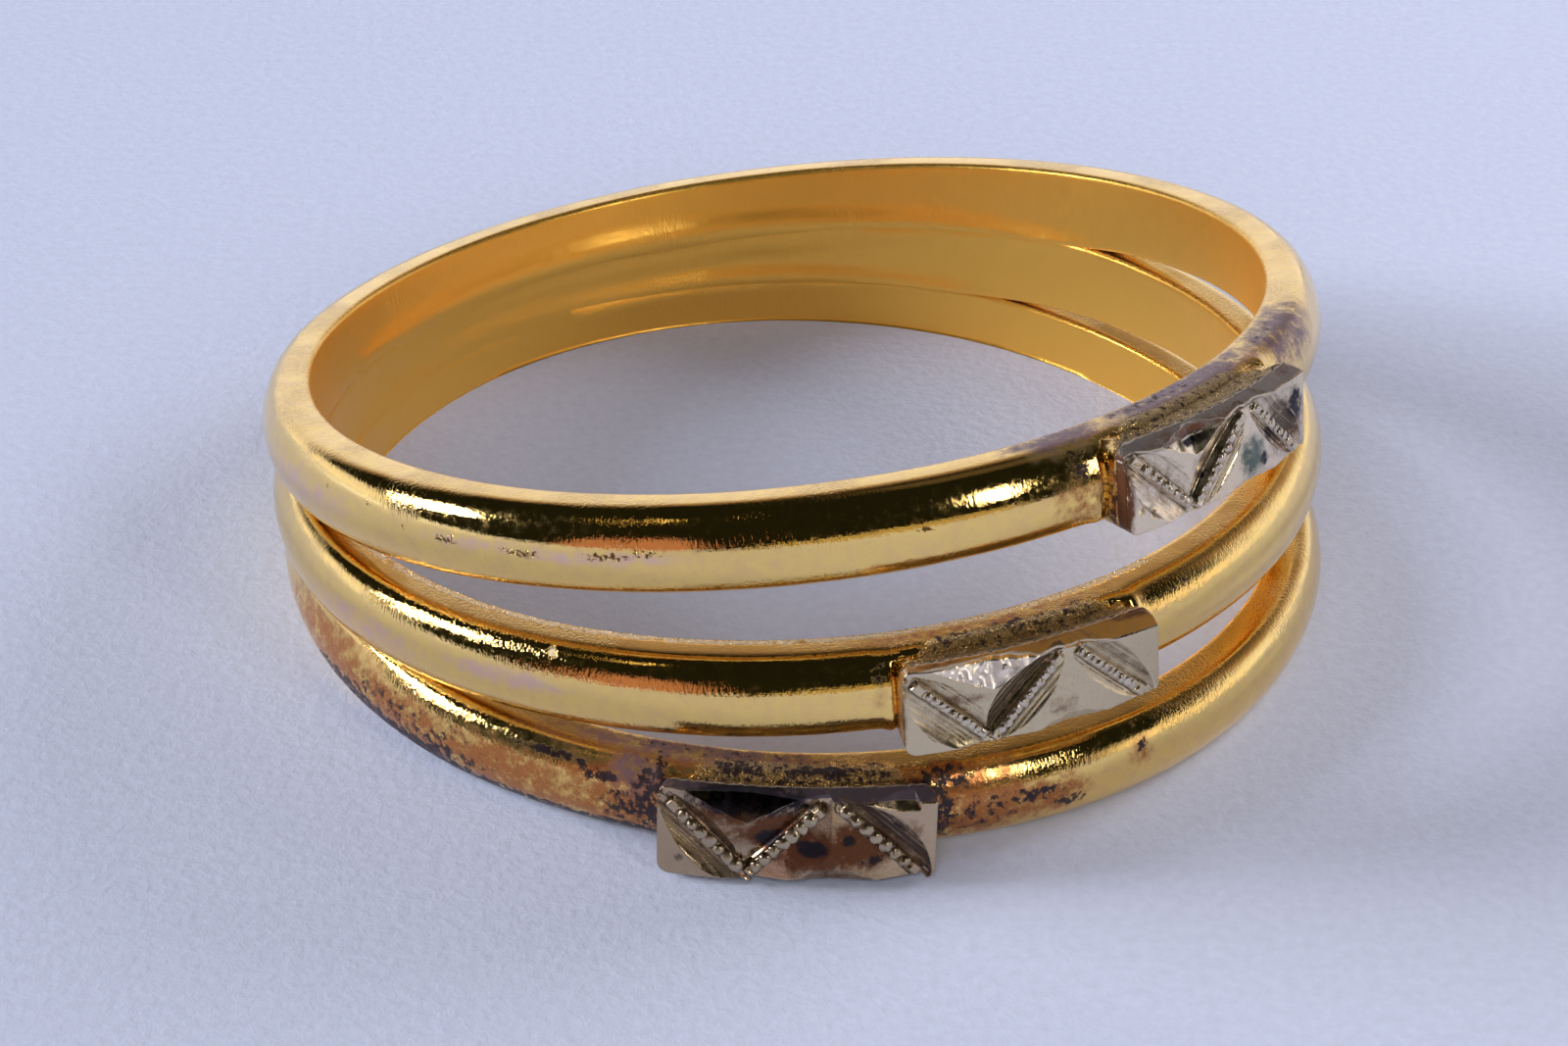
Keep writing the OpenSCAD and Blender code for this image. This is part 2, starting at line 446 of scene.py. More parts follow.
def block(length, height, corner, columns, rows, levels):
    """Flat block with rounded corners as points (along, up, level 0 to 1) and faces. Its front is a
    grid, its wall has a ring of points at every level, its back is closed by strips."""
    a = np.linspace(-length / 2, length / 2, columns + 1)
    inset = np.clip(np.abs(a) - (length / 2 - corner), 0, corner)
    reach = height / 2 - corner + np.sqrt(corner ** 2 - inset ** 2)
    v = np.linspace(-1, 1, rows + 1)
    front = np.stack([np.repeat(a, rows + 1), (reach[:, None] * v).ravel()], 1)
    c, r = np.meshgrid(np.arange(columns), np.arange(rows), indexing="ij")
    first = (c * (rows + 1) + r).ravel()
    faces = np.stack([first, first + rows + 1, first + rows + 2, first + 1], 1).tolist()
    rim = [k * (rows + 1) for k in range(columns + 1)]
    rim += [columns * (rows + 1) + k for k in range(1, rows + 1)]
    rim += [k * (rows + 1) + rows for k in range(columns - 1, -1, -1)]
    rim = np.array(rim + [k for k in range(rows - 1, 0, -1)])
    count = len(rim)
    points = [np.c_[front, np.zeros(len(front))]]
    last = rim
    start = len(front)
    for level in levels[1:]:
        points.append(np.c_[front[rim], np.full(count, level)])
        ids = start + np.arange(count)
        faces += np.stack([last, ids, np.roll(ids, -1), np.roll(last, -1)], 1).tolist()
        last = ids
        start += count
    low = last[:columns + 1]
    high = last[columns + rows:2 * columns + rows + 1][::-1]
    strips = np.stack([high[1:-2], high[2:-1], low[2:-1], low[1:-2]], 1)
    right = last[columns - 1:columns + rows + 2]
    left = np.r_[last[2 * columns + rows - 1:], last[:2]]
    return np.concatenate(points), faces + strips.tolist() + [right[::-1].tolist(), left[::-1].tolist()]


def curl(flat, matrix):
    """Bends points (along, up, radius) round the finger and puts them in a plate's place."""
    angle = flat[:, 0] / face_r
    bent = np.stack([flat[:, 2] * np.cos(angle), flat[:, 2] * np.sin(angle), flat[:, 1]], 1)
    return out_of(matrix, bent)


seat_columns = 150
seat_rows = 8
seat_levels = 19
# Height and size of the crumbs of solder on a seat's upper side
crumb_small = (0.014, 0.07)
crumb_large = (0.025, 0.20)
# A seat's upper side is set back from the plate's, and further down to about this half height by
# this part of its depth
set_back = 0.03
root_half = 0.66
narrow_by = 0.45
for i in range(3):
    height = BANDS[i][6]
    levels = np.linspace(0, 1, seat_levels)
    flat, faces = block(plate_l, height, plate_corner, seat_columns, seat_rows, levels)
    level = flat[:, 2].copy()
    rise = flat[:, 1].copy()
    flat[:, 2] = seat_r - level * (seat_r - seat_root_r)
    shape = curl(flat, at_plate(i))
    crumb = ripple(shape, crumb_small[1]) * crumb_small[0]
    crumb += ripple(shape, crumb_large[1], 5.0) * crumb_large[0]
    hollow = set_back + (height / 2 - root_half) * soft_step(level / narrow_by)
    flat[:, 1] = np.where(rise > 0, rise * (1 - 2 * hollow / height), rise)
    flat[:, 1] += np.clip((2 * rise / height - 0.55) / 0.3, 0, 1) * np.clip(level * 8, 0, 1) * crumb
    shape = curl(flat, at_plate(i))
    if i == 0:
        shape[:, 2] = np.maximum(shape[:, 2], 0)
    shells.append(new_piece(f"seat_{i}", shape, faces))

shank = shells[0]
for k, shell in enumerate(shells[1:]):
    joint = shank.modifiers.new(f"solder_{k}", "BOOLEAN")
    joint.operation = "UNION"
    joint.solver = "MANIFOLD"
    joint.object = shell
joined = bpy.data.meshes.new_from_object(shank.evaluated_get(bpy.context.evaluated_depsgraph_get()))
shank.modifiers.clear()
shank.data = joined
shank.name = "shank_gold"
for shell in shells[1:]:
    bpy.data.objects.remove(shell)
joined.shade_smooth()

# Where each point lies: on which band, how far round and across it, in the bore, near solder, on a
# seat. Distance across is measured over the dome from its crown and on along the flat sides.
points = np.empty(len(joined.vertices) * 3)
joined.vertices.foreach_get("co", points)
points = points.reshape(-1, 3) / mm
in_band = np.stack([into(at_band(i), points) for i in range(3)])
band_gap = [band_depth(i, points) for i in range(3)]
seat_gap = [seat_depth(i, points) for i in range(3)]
nearest = np.argmin(np.abs(band_gap), 0)
local = in_band[nearest, np.arange(len(points))]
radius = np.hypot(local[:, 0], local[:, 1])
angle = np.degrees(np.arctan2(local[:, 1], local[:, 0]))
flat_side = np.clip(hinge_r - radius, 0, side_t)
side_from = band_w / 2 - 0.03
crosswise = np.where(local[:, 2] > side_from, band_w / 2 + flat_side, local[:, 2])
crosswise = np.where(local[:, 2] < -side_from, -band_w / 2 - flat_side, crosswise)
within = np.abs(in_band[:, :, 2]) < band_w / 2 + 0.05
innermost = np.where(within, np.hypot(in_band[:, :, 0], in_band[:, :, 1]), np.inf).min(0)
bore_end = bore_r + 0.10
bore_fade = 0.08
bore_side = np.clip((bore_end - innermost) / bore_fade, 0, 1)
solder_reach = 0.34
second = np.sort(np.abs(band_gap + seat_gap), 0)[1]
solder = np.clip(1 - second / solder_reach, 0, 1) * (1 - bore_side)
seat_skin = 0.2
seat_fade = 0.08
on_seat = np.stack([np.clip(1 - np.maximum(gap, -gap - seat_skin) / seat_fade, 0, 1) for gap in seat_gap])
in_plate = np.stack([into(at_plate(i), points) for i in range(3)])
plate_radius = np.hypot(in_plate[:, :, 0], in_plate[:, :, 1])
smoked_from = 0.28
smoke_fade = 0.14
behind_plate = np.clip((plate_radius - seat_r + smoked_from) / smoke_fade, 0, 1)
upper_from = 0.35
upper_fade = 0.2
upper_side = np.clip((in_plate[:, :, 2] - upper_from) / upper_fade, 0, 1)
# On its upper side the solder of a seat ends in an uneven curve like the edge of a lens
lens_half = 2.5
lens_depth = 1.45
lens_from = 0.3
lens_fade = 0.35
lens_waves = 0.12
in_along = np.arctan2(in_plate[:, :, 1], in_plate[:, :, 0]) * face_r
in_depth = seat_r - plate_radius + lens_waves * ripple(points, 0.5, 9.0)
lens = soft_step((lens_depth * (1 - (in_along / lens_half) ** 2) - in_depth) / lens_fade)
on_seat *= np.where(in_plate[:, :, 2] > lens_from, lens, 1)
seam_share = 0.35
crumb_cover = np.maximum((on_seat * upper_side).max(0), seam_share * solder)

# Oxide films and pits, and one painted shadow, charted from the photo. Columns: film, band, angle round the
# finger, distance across the band (up positive, over 0.75 on the flat side), half length, half breadth,
# strength
CHARTS = ("pit", "copper", "soot", "rose", "violet", "ragged", "bore", "solder")
PIT, COPPER, SOOT_AND_SHADOW, ROSE, VIOLET, RAGGED = range(6)
FILMS = [
    (PIT, 2, -138, 0.30, 0.20, 0.05, 0.95),
    (PIT, 2, -146, 0.34, 0.12, 0.05, 0.90),
    (PIT, 2, -132.5, 0.10, 0.22, 0.06, 0.90),
    (PIT, 2, -127, 0.08, 0.36, 0.08, 0.92),
    (PIT, 2, -118, 0.01, 0.55, 0.09, 0.80),
    (PIT, 2, -109, 0.02, 0.60, 0.10, 0.78),
    (PIT, 2, -105, 0.08, 0.45, 0.09, 0.76),
    (PIT, 2, -78, 0.05, 0.20, 0.06, 0.90),
    (PIT, 2, -69, 0.12, 0.14, 0.06, 0.90),
    # Painted shadow: a dark patch on the upper band just left of the upper plate, laid as a soot film
    (SOOT_AND_SHADOW, 2, -61.5, 0.45, 0.30, 0.45, 0.75),
    (SOOT_AND_SHADOW, 2, -48, 1.15, 2.2, 0.24, 0.55),
    (SOOT_AND_SHADOW, 2, -27, 1.05, 1.2, 0.45, 0.50),
    (VIOLET, 2, -62, 1.10, 1.2, 0.55, 1.0),
    (VIOLET, 2, -44, 1.10, 2.4, 0.60, 1.1),
    (VIOLET, 2, -24, 0.80, 1.6, 0.80, 0.9),
    (COPPER, 2, -60, 0.90, 1.0, 0.25, 0.80),
    (COPPER, 2, -40, 0.85, 2.6, 0.20, 0.85),
    (COPPER, 2, -62, -0.15, 0.55, 0.55, 0.85),
    (ROSE, 2, -152, 0.05, 2.4, 0.40, 0.65),
    (ROSE, 2, -124, 0.08, 1.8, 0.16, 0.60),
    (ROSE, 2, -110, -0.02, 1.8, 0.16, 0.75),
    (ROSE, 1, -122, 0.05, 1.6, 0.22, 0.75),
    (ROSE, 1, -142, -0.05, 2.4, 0.35, 0.65),
    (PIT, 1, -103, -0.45, 0.12, 0.05, 0.8),
    (PIT, 1, -97, -0.35, 0.10, 0.05, 0.8),
    (SOOT_AND_SHADOW, 1, -83.5, 0.45, 0.20, 0.35, 0.65),
    (SOOT_AND_SHADOW, 1, -48, 0.52, 0.70, 0.14, 0.65),
    (COPPER, 1, -96, -0.78, 2.4, 0.12, 1.0),
    (COPPER, 1, -83.5, 0.10, 0.20, 0.40, 0.45),
    (COPPER, 1, -72, 1.02, 3.2, 0.22, 0.85),
    (SOOT_AND_SHADOW, 1, -68, 0.92, 2.6, 0.12, 0.58),
    (COPPER, 0, -152, 0.10, 2.4, 0.75, 1.1),
    (COPPER, 0, -138, -0.10, 2.6, 0.62, 1.2),
    (COPPER, 0, -124, -0.10, 2.2, 0.66, 1.2),
    (COPPER, 0, -112, 0.00, 1.2, 0.90, 1.2),
    (RAGGED, 1, -116.6, 0.60, 0.05, 0.09, 1.2),
    (RAGGED, 1, -106.7, 0.62, 0.035, 0.13, 1.2),
    (COPPER, 0, -104, 1.00, 3.5, 0.50, 1.05),
    (COPPER, 0, -75, 0.10, 1.2, 0.80, 1.4),
    (COPPER, 0, -67, -0.05, 0.9, 0.45, 1.2),
    (COPPER, 0, -78, 0.55, 1.0, 0.40, 1.35),
    (SOOT_AND_SHADOW, 0, -78.5, 0.58, 0.8, 0.30, 0.86),
    (COPPER, 0, -55.5, 0.20, 0.30, 0.30, 0.9),
    (VIOLET, 0, -138, -0.55, 2.4, 0.30, 0.9),
    (VIOLET, 0, -104, 1.10, 3.0, 0.40, 0.8),
    (VIOLET, 0, -109, 0.50, 0.60, 0.50, 0.8),
    (SOOT_AND_SHADOW, 0, -98.7, 0.80, 0.50, 0.12, 1.1),
    (SOOT_AND_SHADOW, 0, -90.0, 0.80, 0.80, 0.14, 1.2),
    (SOOT_AND_SHADOW, 0, -138, 0.00, 3.6, 0.60, 0.55),
    (SOOT_AND_SHADOW, 0, -74, -0.10, 1.2, 0.60, 0.60),
    (SOOT_AND_SHADOW, 0, -148, -0.30, 1.6, 0.20, 1.10),
    (SOOT_AND_SHADOW, 0, -138, -0.44, 1.8, 0.20, 1.15),
    (SOOT_AND_SHADOW, 0, -130, -0.62, 1.6, 0.22, 1.30),
    (SOOT_AND_SHADOW, 0, -121, -0.66, 1.8, 0.24, 1.35),
    (SOOT_AND_SHADOW, 0, -112, -0.68, 1.4, 0.24, 1.30),
    (SOOT_AND_SHADOW, 0, -130, -0.20, 1.4, 0.12, 0.72),
    (SOOT_AND_SHADOW, 0, -118.5, 0.52, 1.0, 0.09, 0.95),
    (SOOT_AND_SHADOW, 0, -113, 0.36, 0.6, 0.16, 0.90),
    (SOOT_AND_SHADOW, 0, -110, -0.10, 0.6, 0.40, 0.76),
    (SOOT_AND_SHADOW, 0, -107.0, 0.10, 0.42, 0.95, 1.00),
    (COPPER, 0, -108.0, 0.00, 0.80, 0.90, 1.40),
    (SOOT_AND_SHADOW, 0, -78.5, 0.10, 0.30, 0.85, 0.92),
    (SOOT_AND_SHADOW, 0, -68, 0.06, 0.70, 0.16, 0.86),
    (SOOT_AND_SHADOW, 0, -64.2, -0.25, 0.40, 0.18, 0.95),
    (SOOT_AND_SHADOW, 0, -55.5, 0.30, 0.18, 0.20, 0.80),
    (SOOT_AND_SHADOW, 0, -53, 0.66, 0.9, 0.08, 0.60),
    (SOOT_AND_SHADOW, 0, -100, 1.15, 3.0, 0.35, 0.55),
]
# Columns: soot over all of a seat, soot and copper on it behind its plate
SEAT_FILMS = [
    (0.60, 0.72, 0.6),
    (0.55, 0.40, 1.0),
    (0.52, 0.62, 0.8),
]
films = np.zeros((6, len(points)))
for film, band, around, over, long, broad, strength in FILMS:
    along_off = ((angle - around + 180) % 360 - 180) * math.pi / 180 * crown_r / long
    over_off = (crosswise - over) / broad
    patch = strength * np.exp(-(along_off ** 2 + over_off ** 2) ** 1.5) * (nearest == band)
    films[film] = np.maximum(films[film], patch * (1 - bore_side))
for i, (smoke, smoke_behind, copper_behind) in enumerate(SEAT_FILMS):
    near = on_seat[i] * behind_plate[i]
    films[SOOT_AND_SHADOW] = np.maximum.reduce([films[SOOT_AND_SHADOW], smoke * on_seat[i], smoke_behind * near])
    films[COPPER] = np.maximum(films[COPPER], copper_behind * near)
# The front of the middle band's upper side has a burred inner edge
burr_from = 1.12
burr_fade = 0.08
burr_waves = 0.10
burr_ends = (-150, -50)
burr_in = crosswise - burr_from - burr_waves * ripple(points, 0.35, 4.0)
burr = np.clip(burr_in / burr_fade, 0, 1) * (1 - bore_side)
burr *= (nearest == 1) * (angle > burr_ends[0]) * (angle < burr_ends[1])
films[RAGGED] = np.maximum(films[RAGGED], burr)
for name, values in zip(CHARTS, [*films, bore_side, crumb_cover]):
    joined.attributes.new(name, "FLOAT", "POINT").data.foreach_set("value", values.astype(np.float32))
surface = np.stack([crosswise, local[:, 0], local[:, 1]], 1).astype(np.float32)
joined.attributes.new("lay", "FLOAT_VECTOR", "POINT").data.foreach_set("vector", surface.ravel())


def lay_films(tree, colour, rough, bare, layers):
    """Lays films over a metal, each broken up by a noise, and returns how much each covers."""
    masks = []
    for film, noise_node, share, start, full, tone, dull, crust in layers:
        shift = add(tree, "ShaderNodeMapRange", {0: noise_node, 3: -share / 2, 4: share / 2})
        worn = add(tree, "ShaderNodeMath", [film, shift, film], operation="MULTIPLY_ADD")
        mask = add(tree, "ShaderNodeMapRange", {0: worn, 1: start, 2: full}, interpolation_type="SMOOTHSTEP")
        colour = add(tree, "ShaderNodeMix", {0: mask, 6: colour, 7: srgb(tone)}, data_type="RGBA").outputs[2]
        rough = add(tree, "ShaderNodeMath", [mask, dull, rough], operation="MULTIPLY_ADD")
        bare = add(tree, "ShaderNodeMath", [mask, crust, bare], operation="MULTIPLY_ADD", use_clamp=True)
        masks.append(mask)
    skin = tree.nodes["Principled BSDF"]
    tree.links.new(colour, skin.inputs["Base Color"])
    tree.links.new(rough.outputs[0], skin.inputs["Roughness"])
    tree.links.new(bare.outputs[0], skin.inputs["Metallic"])
    return masks


# Yellow gold, filed and polished by hand: a mirror with fine file marks and scuffs, a brushed bore painted a
# deeper, more orange gold for light bouncing between its walls, matt crumbs of solder on the seats, dull
# films of copper oxide and soot, one of them a painted shadow. File marks are 0.05 mm apart and brush marks
# 0.04 mm.
gold_tone = "fcd680"
rosy_tone = "e5b98a"
bore_painted_glow_tone = "ffc85c"
bore_dull = 0.24
bore_crust = -0.15
gold = bpy.data.materials.new("polished_18ct_yellow_gold")
gold.use_nodes = True
metal = gold.node_tree
lay = add(metal, "ShaderNodeAttribute", attribute_name="lay").outputs["Vector"]
here = add(metal, "ShaderNodeTexCoord").outputs["Object"]
pit, copper, soot, rose, violet, ragged, bore, crumbs = [
    add(metal, "ShaderNodeAttribute", attribute_name=name).outputs["Fac"] for name in CHARTS]
# Columns: where the noise is read, lumps per mm, detail, roughness
NOISES = [
    (here, 3.6 / mm, 4.0, 0.72),
    (here, 7 / mm, 3.0, 0.75),
    (here, 0.7 / mm, 1.0, 0.5),
    (here, 13 / mm, 2.0, 0.7),
    (add(metal, "ShaderNodeMapping", {"Vector": lay, "Scale": (2.2, 15.0, 15.0)}), 1.3, 2.0, 0.65),
    (add(metal, "ShaderNodeMapping", {"Vector": lay, "Scale": (26.0, 0.7, 0.7)}), 1.0, 2.0, 0.6),
    (here, 28 / mm, 1.0, 0.7),
]
patchy, speckle, slow, fine, filed, brushed, sandy = [
    add(metal, "ShaderNodeTexNoise", {"Vector": where, "Scale": scale, "Detail": detail, "Roughness": rough})
    for where, scale, detail, rough in NOISES]
tinge = add(metal, "ShaderNodeMapRange", {0: patchy, 1: 0.40, 2: 0.66, 3: 0.0, 4: 0.40})
colour = add(metal, "ShaderNodeMix", {0: tinge, 6: srgb(gold_tone), 7: srgb(rosy_tone)},
             data_type="RGBA").outputs[2]
# Painted light: the bore gets a deeper, more orange gold for the glow of light bouncing between the gold
# walls
colour = add(metal, "ShaderNodeMix", {0: bore, 6: colour, 7: srgb(bore_painted_glow_tone)}, data_type="RGBA").outputs[2]
polish = add(metal, "ShaderNodeMapRange", {0: speckle, 1: 0.44, 2: 0.68, 3: 0.045, 4: 0.18})
rough = add(metal, "ShaderNodeMath", [bore, bore_dull, polish], operation="MULTIPLY_ADD")
bare = add(metal, "ShaderNodeMath", [bore, bore_crust, 1.0], operation="MULTIPLY_ADD", use_clamp=True)
# Columns: film, the noise that breaks it up, share of that noise, where it starts and is full,
# colour, roughness added, metal taken away
LAYERS = [
    (rose, patchy, 2.2, 0.25, 1.05, "eec4b4", 0, 0),
    (copper, patchy, 3.2, 0.20, 1.25, "b4733e", 0.14, -0.30),
    (violet, patchy, 2.0, 0.25, 1.00, "72585a", 0.20, -0.50),
    (crumbs, sandy, 2.0, 0.35, 1.10, "a88c5c", 0.14, -0.20),
    (ragged, fine, 1.6, 0.40, 0.90, "fbe2b4", 0.20, -0.45),
    (soot, speckle, 4.0, 0.52, 0.82, "2c1c1e", 0.20, -0.45),
    (pit, fine, 3.4, 0.54, 0.84, "6e5022", 0, 0),
]
_, _, _, crumb_mask, burr_mask, _, pit_mask = lay_films(metal, colour, rough, bare, LAYERS)
file_depth = add(metal, "ShaderNodeMapRange", {0: slow, 1: 0.40, 2: 0.60, 3: 0.15, 4: 1.0})
marks = add(metal, "ShaderNodeMath", [filed, file_depth], operation="MULTIPLY")
rough_skin = add(metal, "ShaderNodeMath", [crumb_mask, burr_mask], operation="MAXIMUM")
grain = add(metal, "ShaderNodeMath", [rough_skin, fine], operation="MULTIPLY")
bump_step = 0.0022
# Columns: pattern, how many steps it stands out where it is full
BUMPS = [
    (marks, 4.6),
    (brushed, 0.35),
    (fine, 0.9),
    (grain, 32.0),
    (pit_mask, -7.0),
]
stands = 0
for pattern, amount in BUMPS:
    stands = add(metal, "ShaderNodeMath", [pattern, amount, stands], operation="MULTIPLY_ADD")
bump = add(metal, "ShaderNodeBump", {"Height": stands, "Strength": 1.0, "Distance": bump_step * mm})
metal.links.new(bump.outputs[0], metal.nodes["Principled BSDF"].inputs["Normal"])
joined.materials.clear()
joined.materials.append(gold)
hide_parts("shank")
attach(shank, "root")

# Plates. Thin plates of white gold cut with three beaded ridges in a zigzag, soldered on the seats. A
# flat graver cut a groove with fine lines beside most ridges, facets between them and scoops into
# the long edges. Places on a plate are along the band to the right and up, from its middle.
along_columns = 400
up_rows = 136
wall_levels = 7
ridge_half = 0.10
ridge_sink = 0.040
crest_drop = 0.015
ridge_steepness = 1.9
strip_drop = 0.29
edge_blunt = 0.035
# Ridges, and the rows of beads on them. Columns: along and up at the start, along and up at the end
RIDGES = [
    (-2.10, 0.50, -0.93, -0.62),
    (-0.80, -0.68, 0.40, 0.50),
    (0.74, 0.52, 2.00, -0.66),
]
BEAD_ROWS = [
    (-1.86, 0.27, -0.99, -0.55),
    (-0.66, -0.55, 0.22, 0.33),
    (0.80, 0.46, 1.78, -0.46),
]
# Cuts beside the ridges. Columns: plates that have it, ridge, side (1 above, -1 below), half width
# where widest, depth at the ridge, how far along the ridge it is widest (0 to 1), graver lines, dirt
GROOVES = [
    ((0,), 0, -1, 0.37, 0.15, 0.58, 1.0, 1.0),
    ((0,), 0, 1, 0.27, 0.15, 0.45, 1.0, 0.9),
    ((1, 2), 0, -1, 0.44, 0.15, 0.52, 1.0, 0.8),
    ((1, 2), 0, 1, 0.38, 0.15, 0.50, 1.0, 0.7),
    ((1, 2), 1, 1, 0.48, 0.20, 0.45, 0.4, 1.5),
    ((1, 2), 1, -1, 0.36, 0.13, 0.50, 0.9, 0.7),
    ((0,), 2, 1, 0.42, 0.17, 0.55, 1.0, 1.1),
    ((1, 2), 2, 1, 0.36, 0.16, 0.42, 1.0, 0.8),
    ((1, 2), 2, -1, 0.30, 0.13, 0.50, 0.9, 0.5),
]
# Facets that rise away from a ridge. Columns: plates that have it, ridge, side, depth at the ridge,
# length of the rise
FACETS = [
    ((0, 1, 2), 0, 1, 0.08, 0.80),
    ((0,), 1, 1, 0.18, 0.66),
    ((1, 2), 1, 1, 0.05, 0.60),
    ((0,), 1, -1, 0.18, 0.58),
    ((1, 2), 1, -1, 0.09, 0.58),
    ((0,), 2, -1, 0.18, 0.62),
    ((1, 2), 2, -1, 0.09, 0.62),
]
# Scoops into the long edges. Columns: plates that have it, middle along, edge (1 top, -1 bottom), up
# where its border is lowest, slope, rise of the border per mm to the left and right, half length
EDGE_SCOOPS = [
    ((0, 1, 2), -0.82, 1, 0.20, 0.47, 0.31, 0.26, 1.36),
    ((0,), 1.62, 1, 0.50, 0.80, 0.25, -0.10, 0.42),
    ((0, 1, 2), 0.60, -1, 0.54, 0.60, 0.20, 0.18, 1.20),
]
# Columns: plate, along, up, radius, depth
DENTS = [
    (0, -2.10, -0.50, 0.10, 0.012),
    (0, 0.30, -0.74, 0.16, 0.030),
    (1, -2.22, 0.55, 0.14, 0.040),
    (2, -2.15, 0.50, 0.26, 0.100),
    (2, -2.05, -0.30, 0.10, 0.030),
    (2, -1.80, -0.45, 0.07, 0.030),
    (2, 1.60, 0.40, 0.30, 0.060),
]
# Profiles of the fine lines that a graver leaves in a groove, over this part of its width
graver_from = -0.1
graver_to = 0.6
graver_samples = 280
line_depth = 0.022
line_blur = 6.0
rng = np.random.default_rng(7)
blur = np.exp(-0.5 * (np.arange(-20, 21) / line_blur) ** 2)
GRAVER = [np.convolve(rng.normal(size=graver_samples), blur / blur.sum(), "same") for _ in range(6)]


def beside(line, a, u):
    """Distances of points along a line and to the left of it, and the line's length."""
    a0, u0, a1, u1 = line
    run = math.hypot(a1 - a0, u1 - u0)
    t = ((a - a0) * (a1 - a0) + (u - u0) * (u1 - u0)) / run
    n = ((u - u0) * (a1 - a0) - (a - a0) * (u1 - u0)) / run
    return t, n, run


def to_rim(a, u, height):
    """Distance of points on a plate's face from its outline."""
    inset = np.clip(np.abs(a) - (plate_l / 2 - plate_corner), 0, plate_corner)
    reach = height / 2 - plate_corner + np.sqrt(np.maximum(plate_corner ** 2 - inset ** 2, 0))
    return np.minimum(plate_l / 2 - np.abs(a), reach - np.abs(u))


def strip_from(a, height, bevel):
    """How far up a plate's bevelled upper strip starts."""
    return height / 2 - bevel[0] - (bevel[1] - bevel[0]) * (a / plate_l + 0.5)


def plate_relief(a, u, plate, height, bevel):
    """Height of the cut face over the uncut one, where it is scooped at the top and where grooved."""
    spans = [beside(ridge, a, u) for ridge in RIDGES]
    # Fields of the zigzag: 0 below the first ridge, 1 and 2 on both sides of the second, 3 above the
    # third, and 4 the part of that which stays flat
    region = np.where(spans[0][1] < 0, 0, np.where(spans[2][1] > 0, 3, np.where(spans[1][1] > 0, 1, 2)))
    region = np.where((region == 3) & (spans[1][1] > 0) & (a < RIDGES[2][0]), 4, region)
    home = {(0, -1): 0, (0, 1): 1, (1, 1): 1, (1, -1): 2, (2, -1): 2, (2, 1): 3}
    z = np.zeros_like(a)
    grooved = np.zeros_like(a)
    for plates, ridge, side, foot, rise in FACETS:
        slant = np.minimum(0, -foot + foot / rise * (side * spans[ridge][1] - ridge_half))
        z = np.where((plate in plates) & (region == home[ridge, side]), np.minimum(z, slant), z)
    overrun = 0.12
    for plates, ridge, side, wide, foot, peak, lined, dirty in GROOVES:
        if plate in plates:
            t, n, run = spans[ridge]
            s = (np.clip(t / run, -overrun, 1 + overrun) + overrun) / (1 + 2 * overrun)
            power = math.log(0.5) / math.log((peak + overrun) / (1 + 2 * overrun))
            bow = np.sin(math.pi * s ** power) ** 0.7
            reach = np.maximum(wide * bow, 1e-3)
            off = side * n - ridge_half
            cut = -foot * bow ** 0.4 * (1 - np.clip(off / reach, 0, 1) ** 1.6)
            sampled = np.linspace(graver_from, graver_to, graver_samples)
            lines = np.interp(off, sampled, GRAVER[ridge * 2 + (side > 0)])
            deeper = (region == home[ridge, side]) & (off < reach) & (cut < z)
            z = np.where(deeper, cut + lined * line_depth * lines * bow, z)
            grooved = np.where(deeper, dirty * np.clip(0.85 + 1.6 * lines, 0.3, 1.4), grooved)
    scooped = np.zeros_like(a)
    for plates, middle, edge, low_up, slope, left, right, half in EDGE_SCOOPS:
        off = np.where(plate in plates, a - middle, half)
        border = low_up + np.where(off < 0, -left, right) * off + 0.10 * off ** 2
        border += 0.012 * np.sin(19 * a + plate) * (half > 1)
        depth = slope * np.maximum(edge * u - border, 0) * np.clip((half - np.abs(off)) / 0.10, 0, 1)
        scooped = np.maximum(scooped, (depth > 0.002) & (z > -depth) & (edge > 0))
        grooved = np.where(z > -depth, 0, grooved)
        z = np.minimum(z, -depth)
    # The ridges stand up from the cuts, lower under their beads
    wall = np.full_like(a, np.inf)
    for t, n, run in spans:
        past = np.maximum(np.maximum(-t, t - run), 0)
        wall = np.minimum(wall, np.hypot(np.maximum(np.abs(n) - ridge_half + 0.03, 0), past))
    beaded = np.full_like(a, np.inf)
    for row in BEAD_ROWS:
        t, n, run = beside(row, a, u)
        beaded = np.minimum(beaded, np.hypot(n, np.maximum(np.maximum(-t, t - run), 0)))
    crest = -crest_drop - ridge_sink * np.clip((0.16 - beaded) / 0.05, 0, 1)
    flank = crest - ridge_steepness * wall
    grooved = np.where(z < flank, 0, grooved)
    z = np.maximum(z, flank)
    z = np.where(wall == 0, np.minimum(z, crest), z)
    front = strip_from(a, height, bevel)
    z = np.minimum(z, -strip_drop * (u - front) / (height / 2 - front))
    round_off = np.clip(edge_blunt - to_rim(a, u, height), 0, edge_blunt)
    z = z - (edge_blunt - np.sqrt(edge_blunt ** 2 - round_off ** 2))
    for dented, a0, u0, wide, depth in DENTS:
        if dented == plate:
            z = z - depth * np.exp(-((a - a0) ** 2 + (u - u0) ** 2) / wide ** 2)
    return z, scooped, grooved


